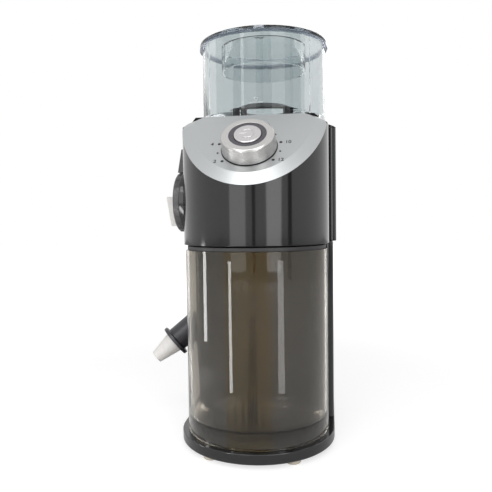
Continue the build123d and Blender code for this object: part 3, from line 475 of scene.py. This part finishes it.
def dress(node, edge, sharp=SHARP_ANGLE, finish=None, merge=True):
    """A smooth, finished copy of a moulding that takes the moulding's place."""
    mesh = merged_copy(node, edge, merge)
    mesh.materials.clear()
    mesh.materials.append(finish or finish_of_slot[slot_of[node]])
    mesh.shade_smooth()
    piece = bpy.data.objects.new(node + "_surface", mesh)
    bpy.context.scene.collection.objects.link(piece)
    if edge == 0:
        mesh.set_sharp_from_angle(angle=math.radians(sharp))
    if merge:
        round_edges(piece, edge, sharp)
    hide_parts(node)
    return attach(piece, body_of[node])


print("bevel steps", BEVEL_STEPS, "sharp from", SHARP_ANGLE)

# %% Dress each visible piece
# The width of each piece's rounded edge; 0 leaves it sharp
edge_of = {
    "base_plate": 0.5 * MM,
    "feet": 0.3 * MM,
    "rear_column": 0.4 * MM,
    "front_shell": 0.3 * MM,
    "upper_housing": 0.5 * MM,
    "top_cover": 0.3 * MM,
    "cup_knob": 0.3 * MM,
    "knob_ring": 0.15 * MM,
    "dial_plate": 0.3 * MM,
    "dial_grip": 0.0,
    "hopper": 0.0,
    "hopper_guard": 0.0,
    "grounds_bin": 0.0,
    "bin_lid": 0.4 * MM,
    "cord_gland": 0.5 * MM,
    "strain_relief": 0.4 * MM,
}
surfaces = {node: dress(node, edge) for node, edge in edge_of.items()}
surfaces["control_panel"] = dress("control_panel", 0.0, sharp=9.0, merge=False)
surfaces["hopper_lid"] = dress("hopper_lid", 0.0, sharp=10.0, finish=lid_clear, merge=False)
surfaces["grind_dial"] = dress("grind_dial", 0.4 * MM, finish=dial_grey)
surfaces["start_button"] = dress("start_button", 0.15 * MM, finish=button_metal)
for name, node in nodes.items():
    if name not in surfaces:
        node.data.materials.clear()
        node.data.materials.append(finish_of_slot[slot_of[name]])
print("dressed", len(surfaces), "of", len(nodes))

# %% [markdown]
# ## Scale printed round the cup knob
# Dots stand on an arc round the knob, one for each setting, larger at the even ones, with a number
# beside those. They could be drawn one by one, but they repeat along a rule, so a node tree makes
# them: points on an arc, a small disc at each, realised at the end. A tree is written as three
# lists: its inputs, its nodes and its links. Numbers are text turned into a mesh on the panel.

# %% A geometry tree from three lists
panel_turn = Matrix((Vector((1, 0, 0)), slope_up, knob_axis)).transposed().to_4x4()
panel_place = Matrix.Translation(knob_centre) @ panel_turn


def shape_tree(name, entries, parts, links):
    """A tree from its named inputs, its nodes with their settings, and its links."""
    tree = bpy.data.node_groups.new(name, "GeometryNodeTree")
    tree.interface.new_socket("Geometry", in_out="OUTPUT", socket_type="NodeSocketGeometry")
    for title, kind in entries:
        tree.interface.new_socket(title, in_out="INPUT", socket_type=kind)
    made = {"in": tree.nodes.new("NodeGroupInput"), "out": tree.nodes.new("NodeGroupOutput")}
    for key, kind, settings in parts:
        made[key] = tree.nodes.new(kind)
        for setting, value in settings.items():
            setattr(made[key], setting, value)
    for source, output, target, entry in links:
        tree.links.new(made[source].outputs[output], made[target].inputs[entry])
    return tree


def grow(name, tree, values, place, body):
    """Run a tree on an empty mesh and keep the result as a plain mesh in its place."""
    piece = bpy.data.objects.new(name, bpy.data.meshes.new(name))
    bpy.context.scene.collection.objects.link(piece)
    pattern = piece.modifiers.new(name, "NODES")
    pattern.node_group = tree
    for entry in tree.interface.items_tree:
        if entry.in_out == "INPUT" and entry.name in values:
            pattern[entry.identifier] = values[entry.name]
    piece.data = plain_mesh(piece)
    piece.modifiers.clear()
    piece.data.transform(place)
    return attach(piece, body)


print("knob centre", [round(value, 4) for value in knob_centre])

# %% Dots on an arc
SETTINGS = (2, 4, 6, 8, 10, 12)
GAPS = len(SETTINGS) - 1
STEP_ANGLE = math.radians(25.67)
DOT_CIRCLE = 20.1 * MM
DOT_RISE = 0.06 * MM
EVEN_DOT = 1.0 * MM
ODD_DOT = 0.7 * MM
DOT_SIDES = 20
dot_entries = (
    ("Count", "NodeSocketInt"),
    ("First angle", "NodeSocketFloat"),
    ("Step", "NodeSocketFloat"),
    ("Circle", "NodeSocketFloat"),
    ("Dot radius", "NodeSocketFloat"),
    ("Dot height", "NodeSocketFloat"),
    ("Dot sides", "NodeSocketInt"),
    ("Ink", "NodeSocketMaterial"),
)
dot_parts = (
    ("points", "GeometryNodePoints", {}),
    ("index", "GeometryNodeInputIndex", {}),
    ("turn", "ShaderNodeMath", {"operation": "MULTIPLY_ADD"}),
    ("sine", "ShaderNodeMath", {"operation": "SINE"}),
    ("cosine", "ShaderNodeMath", {"operation": "COSINE"}),
    ("across", "ShaderNodeMath", {"operation": "MULTIPLY"}),
    ("along", "ShaderNodeMath", {"operation": "MULTIPLY"}),
    ("spot", "ShaderNodeCombineXYZ", {}),
    ("dot", "GeometryNodeMeshCylinder", {}),
    ("stand", "GeometryNodeInstanceOnPoints", {}),
    ("real", "GeometryNodeRealizeInstances", {}),
    ("ink", "GeometryNodeSetMaterial", {}),
)
dot_links = (
    ("in", "Count", "points", "Count"),
    ("index", 0, "turn", 0),
    ("in", "Step", "turn", 1),
    ("in", "First angle", "turn", 2),
    ("turn", 0, "sine", 0),
    ("turn", 0, "cosine", 0),
    ("sine", 0, "across", 0),
    ("in", "Circle", "across", 1),
    ("cosine", 0, "along", 0),
    ("in", "Circle", "along", 1),
    ("across", 0, "spot", "X"),
    ("along", 0, "spot", "Y"),
    ("spot", 0, "points", "Position"),
    ("in", "Dot radius", "dot", "Radius"),
    ("in", "Dot height", "dot", "Depth"),
    ("in", "Dot sides", "dot", "Vertices"),
    ("points", 0, "stand", "Points"),
    ("dot", "Mesh", "stand", "Instance"),
    ("stand", 0, "real", 0),
    ("real", 0, "ink", "Geometry"),
    ("in", "Ink", "ink", "Material"),
    ("ink", 0, "out", 0),
)
dots = shape_tree("scale_dots", dot_entries, dot_parts, dot_links)
every_dot = {
    "Step": 2 * STEP_ANGLE,
    "Circle": DOT_CIRCLE,
    "Dot height": 2 * DOT_RISE,
    "Dot sides": DOT_SIDES,
    "Ink": ink_and_painted_shadow,
}
even_dots = {"Count": len(SETTINGS), "First angle": -GAPS * STEP_ANGLE, "Dot radius": EVEN_DOT, **every_dot}
odd_dots = {"Count": GAPS, "First angle": (1 - GAPS) * STEP_ANGLE, "Dot radius": ODD_DOT, **every_dot}
grow("scale_dots_even", dots, even_dots, panel_place, "housing")
grow("scale_dots_odd", dots, odd_dots, panel_place, "housing")
print("scale dots", even_dots["Count"] + odd_dots["Count"])

# %% Numbers beside the larger dots
NUMBER_SIZE = 3.9 * MM
NUMBER_GAP = 4.6 * MM
NUMBER_WEIGHT = 0.07 * MM
SIDE_FROM = 1.5 * STEP_ANGLE


def curve_mesh(name, curve):
    """A curve or text as a mesh."""
    maker = bpy.data.objects.new(name + "_curve", curve)
    bpy.context.scene.collection.objects.link(maker)
    mesh = plain_mesh(maker)
    bpy.data.objects.remove(maker)
    return mesh


def add_piece(name, mesh, finish, place, body):
    """A piece of its own from a mesh, with its finish and its place in the mesh."""
    mesh.materials.clear()
    mesh.materials.append(finish)
    mesh.transform(place)
    piece = bpy.data.objects.new(name, mesh)
    bpy.context.scene.collection.objects.link(piece)
    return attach(piece, body)


def lettering(name, text, place):
    """A raised number in ink, centred on its place."""
    curve = bpy.data.curves.new(name, "FONT")
    curve.body = text
    curve.size = NUMBER_SIZE
    curve.align_x = "CENTER"
    curve.align_y = "CENTER"
    curve.extrude = DOT_RISE
    curve.offset = NUMBER_WEIGHT
    return add_piece(name, curve_mesh(name, curve), ink_and_painted_shadow, place, "housing")


for order, setting in enumerate(SETTINGS):
    angle = (2 * order - GAPS) * STEP_ANGLE
    spot = Vector((math.sin(angle), math.cos(angle), 0)) * DOT_CIRCLE
    beside = spot.normalized()
    if abs(angle) > SIDE_FROM:
        beside = Vector((math.copysign(1.0, angle), 0, 0))
    where = panel_place @ Matrix.Translation(spot + beside * NUMBER_GAP)
    lettering(f"scale_number_{setting}", str(setting), where)
print("scale numbers", len(SETTINGS))

# %% [markdown]
# ## Start button sign and painted shadow under the knob
# The button carries a raised power sign: an open ring with a bar through the gap. It could be cut from
# the button's mesh, but a curve with a round bevel is the simplest way to a raised line of even width.
# A thin dark ring under the knob is painted shadow: it stands for the shadow line where the knob meets
# the panel. It is a washer turned from its section, as that has few faces.

# %% Raised sign on the button
SIGN_RADIUS = 3.9 * MM
SIGN_LINE = 0.42 * MM
SIGN_GAP = math.radians(38)
SIGN_STEPS = 28
LINE_STEPS = 3
BAR_FROM = -1.28 * SIGN_RADIUS
BAR_TO = -0.1 * SIGN_RADIUS
button_points = nodes["start_button"].data.vertices
button_top = max((point.co - knob_centre).dot(knob_axis) for point in button_points)


def raised_line(name, runs, thickness, place, finish, body):
    """Round lines along runs of points, as one mesh."""
    curve = bpy.data.curves.new(name, "CURVE")
    curve.dimensions = "3D"
    curve.bevel_depth = thickness
    curve.bevel_resolution = LINE_STEPS
    curve.use_fill_caps = True
    for run in runs:
        spline = curve.splines.new("POLY")
        spline.points.add(len(run) - 1)
        for point, spot in zip(spline.points, run):
            point.co = (*spot, 1.0)
    mesh = curve_mesh(name, curve)
    mesh.shade_smooth()
    return add_piece(name, mesh, finish, place, body)


sweep = 2 * math.pi - 2 * SIGN_GAP
ring_run = []
for step in range(SIGN_STEPS + 1):
    angle = math.pi + SIGN_GAP + sweep * step / SIGN_STEPS
    ring_run.append((SIGN_RADIUS * math.cos(angle), SIGN_RADIUS * math.sin(angle), button_top))
bar_run = [(BAR_FROM, 0, button_top), (BAR_TO, 0, button_top)]
sign_runs = [ring_run, bar_run]
raised_line("button_sign", sign_runs, SIGN_LINE, panel_place, button_metal, "button")
print("button top", round(button_top, 5))

# %% Painted shadow ring under the knob
SHADOW_RING_INNER = 7.2 * MM
SHADOW_RING_OUTER = 17.9 * MM
SHADOW_RING_HEIGHT = 0.35 * MM
SHADOW_RING_SIDES = 96


def flat_ring(inner, outer, height, sides):
    """A washer made by turning its section round the local Z axis."""
    shape = bmesh.new()
    section = [(inner, 0.0), (outer, 0.0), (outer, height), (inner, height)]
    rows = []
    for side in range(sides):
        angle = 2 * math.pi * side / sides
        rows.append([shape.verts.new((r * math.cos(angle), r * math.sin(angle), z)) for r, z in section])
    for side in range(sides):
        first = rows[side]
        second = rows[(side + 1) % sides]
        for corner in range(len(section)):
            after = (corner + 1) % len(section)
            shape.faces.new((first[corner], second[corner], second[after], first[after]))
    bmesh.ops.recalc_face_normals(shape, faces=shape.faces)
    mesh = bpy.data.meshes.new("knob_shadow_ring")
    shape.to_mesh(mesh)
    shape.free()
    mesh.shade_smooth()
    mesh.set_sharp_from_angle(angle=math.radians(SHARP_ANGLE))
    return mesh


# Painted shadow: a dark ring where the knob meets the panel
shadow_ring = flat_ring(SHADOW_RING_INNER, SHADOW_RING_OUTER, SHADOW_RING_HEIGHT, SHADOW_RING_SIDES)
add_piece("knob_shadow_ring", shadow_ring, ink_and_painted_shadow, panel_place, "housing")
print("knob shadow ring radius", SHADOW_RING_OUTER)

# %% [markdown]
# ## Grind dial
# The dial's rim has wide grip ribs. They could be cut into the dial, but they repeat round the axis, so
# the same kind of tree makes them: one bar at each point of a circle, turned to face outwards and
# standing a little proud of the dial's edge.

# %% Ribs round the dial
RIB_COUNT = 22
RIB_PROUD = 0.25 * MM
RIB_WIDTH = 2.6 * MM
RIB_SPAN = 0.55
dial_low, dial_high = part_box("grind_dial")
dial_r = (dial_high.z - dial_low.z) / 2
dial_thick = dial_high.x - dial_low.x
dial_middle = Vector(((dial_low.x + dial_high.x) / 2, dial_centre.y, dial_centre.z))
dial_turn = Matrix((Vector((0, -1, 0)), Vector((0, 0, 1)), Vector((-1, 0, 0)))).transposed().to_4x4()
dial_place = Matrix.Translation(dial_middle) @ dial_turn
rib_entries = (
    ("Count", "NodeSocketInt"),
    ("Circle", "NodeSocketFloat"),
    ("Bar size", "NodeSocketVector"),
    ("Finish", "NodeSocketMaterial"),
)
rib_parts = (
    ("circle", "GeometryNodeMeshCircle", {}),
    ("outward", "GeometryNodeInputPosition", {}),
    ("align", "FunctionNodeAlignRotationToVector", {"axis": "X"}),
    ("bar", "GeometryNodeMeshCube", {}),
    ("stand", "GeometryNodeInstanceOnPoints", {}),
    ("real", "GeometryNodeRealizeInstances", {}),
    ("finish", "GeometryNodeSetMaterial", {}),
)
rib_links = (
    ("in", "Count", "circle", "Vertices"),
    ("in", "Circle", "circle", "Radius"),
    ("in", "Bar size", "bar", "Size"),
    ("outward", 0, "align", "Vector"),
    ("circle", "Mesh", "stand", "Points"),
    ("bar", "Mesh", "stand", "Instance"),
    ("align", "Rotation", "stand", "Rotation"),
    ("stand", 0, "real", 0),
    ("real", 0, "finish", "Geometry"),
    ("in", "Finish", "finish", "Material"),
    ("finish", 0, "out", 0),
)
ribs = shape_tree("dial_ribs", rib_entries, rib_parts, rib_links)
rib_values = {
    "Count": RIB_COUNT,
    "Circle": dial_r,
    "Bar size": Vector((2 * RIB_PROUD, RIB_WIDTH, dial_thick * RIB_SPAN)),
    "Finish": dial_grey,
}
grow("dial_ribs", ribs, rib_values, dial_place, "dial")
print("dial radius", round(dial_r, 4), "ribs", RIB_COUNT)

# %% [markdown]
# ## Fill mark on the hopper
# A plain line with a small pointer above it shows how full the hopper may be. It could be printed by a
# colour in the plastic, but a thin raised line shows up better on a clear wall. It is wrapped round the
# wall's own radius.

# %% Fill line and pointer
MARK_HEIGHT = 11.0 * MM
MARK_HALF = math.radians(6)
MARK_STEPS = 12
MARK_LINE = 0.16 * MM
POINTER_HALF = 1.6 * MM
POINTER_TOP = 3.4 * MM
POINTER_TIP = 1.0 * MM
wall_r = burr_axis.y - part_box("hopper")[0].y
mark_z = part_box("top_cover")[1].z + MARK_HEIGHT
fill_line = []
for step in range(MARK_STEPS + 1):
    angle = MARK_HALF * (2 * step / MARK_STEPS - 1)
    fill_line.append((wall_r * math.sin(angle), -wall_r * math.cos(angle), 0.0))
pointer = [
    (-POINTER_HALF, -wall_r, POINTER_TOP),
    (0, -wall_r, POINTER_TIP),
    (POINTER_HALF, -wall_r, POINTER_TOP),
    (-POINTER_HALF, -wall_r, POINTER_TOP),
]
mark_place = Matrix.Translation(Vector((burr_axis.x, burr_axis.y, mark_z)))
mark_runs = [fill_line, pointer]
raised_line("fill_mark", mark_runs, MARK_LINE, mark_place, mark_white, "hopper")
print("fill mark at", round(mark_z, 4))

# %% [markdown]
# ## Camera
# The camera stands where the photograph was taken: a little to the right of the front and a little
# above the grinder's middle, with the view tipped slightly down. It could be aimed at a point, but the
# photograph also leans a little, so heading, pitch and roll are given, with a distance from the
# shell's axis.

# %% Camera at the photograph's view
CAMERA_DISTANCE = 0.37786
CAMERA_SIDE = -0.00725
CAMERA_HEIGHT = 0.15059
HEADING = math.radians(8.55)
PITCH = math.radians(2.64)
ROLL = math.radians(-0.74)
LENS = 40.52
SENSOR = 36.0
NEAREST = 0.01

forward = Vector((-math.sin(HEADING), math.cos(HEADING), 0))
right = Vector((math.cos(HEADING), math.sin(HEADING), 0))
up = Vector((0, 0, 1))
look = forward * math.cos(PITCH) - up * math.sin(PITCH)
lift = up * math.cos(PITCH) + forward * math.sin(PITCH)
across = right * math.cos(ROLL) + lift * math.sin(ROLL)
top = lift * math.cos(ROLL) - right * math.sin(ROLL)
stand = shell_axis - forward * CAMERA_DISTANCE + right * CAMERA_SIDE + up * CAMERA_HEIGHT
camera = bpy.data.objects.new("camera", bpy.data.cameras.new("camera"))
camera.data.lens = LENS
camera.data.sensor_width = SENSOR
camera.data.clip_start = NEAREST
camera.matrix_world = Matrix.Translation(stand) @ Matrix((across, top, -look)).transposed().to_4x4()
bpy.context.scene.collection.objects.link(camera)
bpy.context.scene.camera = camera
print("camera at", [round(value, 4) for value in stand])

# %% [markdown]
# ## Studio: white surround and floor
# The surround is white to the camera, to reflections and through the clear plastics, and dimmer as a
# light, so the white comes from no extra light on the grinder. The floor could simply glow, but then it
# would lose the shadow. Near the grinder it glows only in part, so its own shade shows, and further
# out it glows more, so that no horizon line is seen.

# %% White surround
SURROUND_LIGHT = 0.3


def white_surround(strength):
    """White for the rays that are looked along, and a given strength for those that light."""
    world = bpy.data.worlds.new("surround")
    bpy.context.scene.world = world
    world.use_nodes = True
    tree = world.node_tree
    ground = tree.nodes["Background"]
    ray = tree.nodes.new("ShaderNodeLightPath")
    seen = tree.nodes.new("ShaderNodeMath")
    seen.operation = "MAXIMUM"
    shown = tree.nodes.new("ShaderNodeMath")
    shown.operation = "MAXIMUM"
    level = tree.nodes.new("ShaderNodeMapRange")
    level.inputs["To Min"].default_value = strength
    level.inputs["To Max"].default_value = 1.0
    tree.links.new(ray.outputs["Is Camera Ray"], seen.inputs[0])
    tree.links.new(ray.outputs["Is Glossy Ray"], seen.inputs[1])
    tree.links.new(seen.outputs[0], shown.inputs[0])
    tree.links.new(ray.outputs["Is Transmission Ray"], shown.inputs[1])
    tree.links.new(shown.outputs[0], level.inputs["Value"])
    tree.links.new(level.outputs["Result"], ground.inputs["Strength"])
    ground.inputs["Color"].default_value = tone(1.0, 1.0, 1.0)


white_surround(SURROUND_LIGHT)
print("surround as a light", SURROUND_LIGHT)

# %% Floor that keeps the shadow
FLOOR_HALF = 3.0
FLOOR_GLOW = 1.4
FLOOR_FADE = {"From Min": 0.2, "From Max": 0.7, "To Min": 0.5, "To Max": 0.8}


def stage_sheet(name, corners, paint):
    """A four-cornered sheet of the studio, which is no part of the grinder."""
    mesh = bpy.data.meshes.new(name)
    mesh.from_pydata(corners, [], [(0, 1, 2, 3)])
    mesh.materials.append(paint.material)
    sheet = bpy.data.objects.new(name, mesh)
    bpy.context.scene.collection.objects.link(sheet)
    return sheet


def floor_paint():
    """Pale paint that glows to the camera, in part near the middle and more further out."""
    paint = Paint("floor_pale")
    paint.set({"Base Color": tone(0.93, 0.93, 0.93), "Roughness": 0.9})
    ray = paint.tree.nodes.new("ShaderNodeLightPath")
    glow = paint.tree.nodes.new("ShaderNodeEmission")
    glow.inputs["Strength"].default_value = FLOOR_GLOW
    mix = paint.tree.nodes.new("ShaderNodeMixShader")
    shown = Value(paint, ray.outputs["Is Camera Ray"]) + Value(paint, ray.outputs["Is Transmission Ray"])
    apart = paint.node("ShaderNodeVectorMath", {"operation": "LENGTH"}, {0: paint.place()}, output=1)
    paint.plug(mix.inputs[0], shown * paint.ease(apart, FLOOR_FADE))
    paint.tree.links.new(paint.shader.outputs[0], mix.inputs[1])
    paint.tree.links.new(glow.outputs[0], mix.inputs[2])
    paint.tree.links.new(mix.outputs[0], paint.tree.nodes["Material Output"].inputs[0])
    return paint


floor_corners = [
    (-FLOOR_HALF, -FLOOR_HALF, 0),
    (FLOOR_HALF, -FLOOR_HALF, 0),
    (FLOOR_HALF, FLOOR_HALF, 0),
    (-FLOOR_HALF, FLOOR_HALF, 0),
]
stage_sheet("floor", floor_corners, floor_paint())
print("floor half width", FLOOR_HALF)

# %% [markdown]
# ## Studio: lamps and dark cards
# Two tall soft lamps in front, one above and one behind light the whole grinder. Small strip lamps
# close to it show as the upright lines on the bin and the hopper. They could be painted on as white
# lines, but a reflection moves with the view as a real one does. Two dark cards do the opposite on
# the black casing: they show only in reflections, as thin dark lines.

# %% Lamps
middle = Vector((shell_axis.x, shell_axis.y, 0.14))
bin_side = Vector((-0.017, -0.065, 0.09))
bin_left = Vector((0.003, -0.075, 0.09))
bin_right = Vector((0.036, -0.071, 0.09))
hopper_front = Vector((0.0, -0.02, 0.25))
# Each row is a name, a place, what the lamp is aimed at, its width and height in metres, and its watts
lamps = (
    ("left_soft", Vector((-0.32, -0.92, 0.45)), middle, 0.45, 0.9, 1.9),
    ("right_soft", Vector((0.52, -0.8, 0.45)), middle, 0.4, 0.9, 2.5),
    ("bin_strip", Vector((-0.245, -0.095, 0.075)), bin_side, 0.03, 0.1, 0.11),
    ("bin_left_line", Vector((-0.084, -0.197, 0.058)), bin_left, 0.014, 0.115, 0.06),
    ("bin_right_line", Vector((0.139, -0.179, 0.058)), bin_right, 0.03, 0.115, 0.045),
    ("hopper_line", Vector((-0.236, -0.407, 0.39)), hopper_front, 0.05, 0.14, 0.09),
    ("front_top", Vector((0.0, -0.75, 0.95)), middle, 0.7, 0.4, 3.0),
    ("back_soft", Vector((0.1, 0.95, 0.7)), middle, 0.8, 0.5, 2.0),
)


def lamp(name, place, target, width, height, power):
    """An area lamp that lights and reflects but isn't seen itself, not through the plastics either."""
    light = bpy.data.lights.new(name, "AREA")
    light.shape = "RECTANGLE"
    light.size = width
    light.size_y = height
    light.energy = power
    holder = bpy.data.objects.new(name, light)
    aim = (target - place).to_track_quat("-Z", "Y")
    holder.matrix_world = Matrix.Translation(place) @ aim.to_matrix().to_4x4()
    holder.visible_camera = False
    holder.visible_transmission = False
    bpy.context.scene.collection.objects.link(holder)


for row in lamps:
    lamp(*row)
print("lamps", len(lamps))

# %% Dark cards
CARD_HEIGHT = 1.2
# Each row is a name, a heading from the shell's axis, a distance and a width in metres
cards = (
    ("card_middle", math.radians(3.5), 1.3, 0.1),
    ("card_right", math.radians(58.5), 1.1, 0.12),
)


def dark_card(name, heading, distance, width):
    """An upright dark strip that only shows in reflections, as a thin line on the casing."""
    paint = Paint(name)
    paint.set({"Base Color": tone(0.05, 0.05, 0.055), "Roughness": 0.8})
    ahead = Vector((math.sin(heading), -math.cos(heading), 0))
    beside = Vector((math.cos(heading), math.sin(heading), 0)) * (width / 2)
    foot = shell_axis + ahead * distance
    rise = Vector((0, 0, CARD_HEIGHT))
    corners = [foot - beside, foot + beside, foot + beside + rise, foot - beside + rise]
    card = stage_sheet(name, corners, paint)
    card.visible_camera = False
    card.visible_transmission = False
    card.visible_shadow = False


for row in cards:
    dark_card(*row)
bpy.context.scene.view_settings.view_transform = "Standard"
print("dark cards", len(cards))
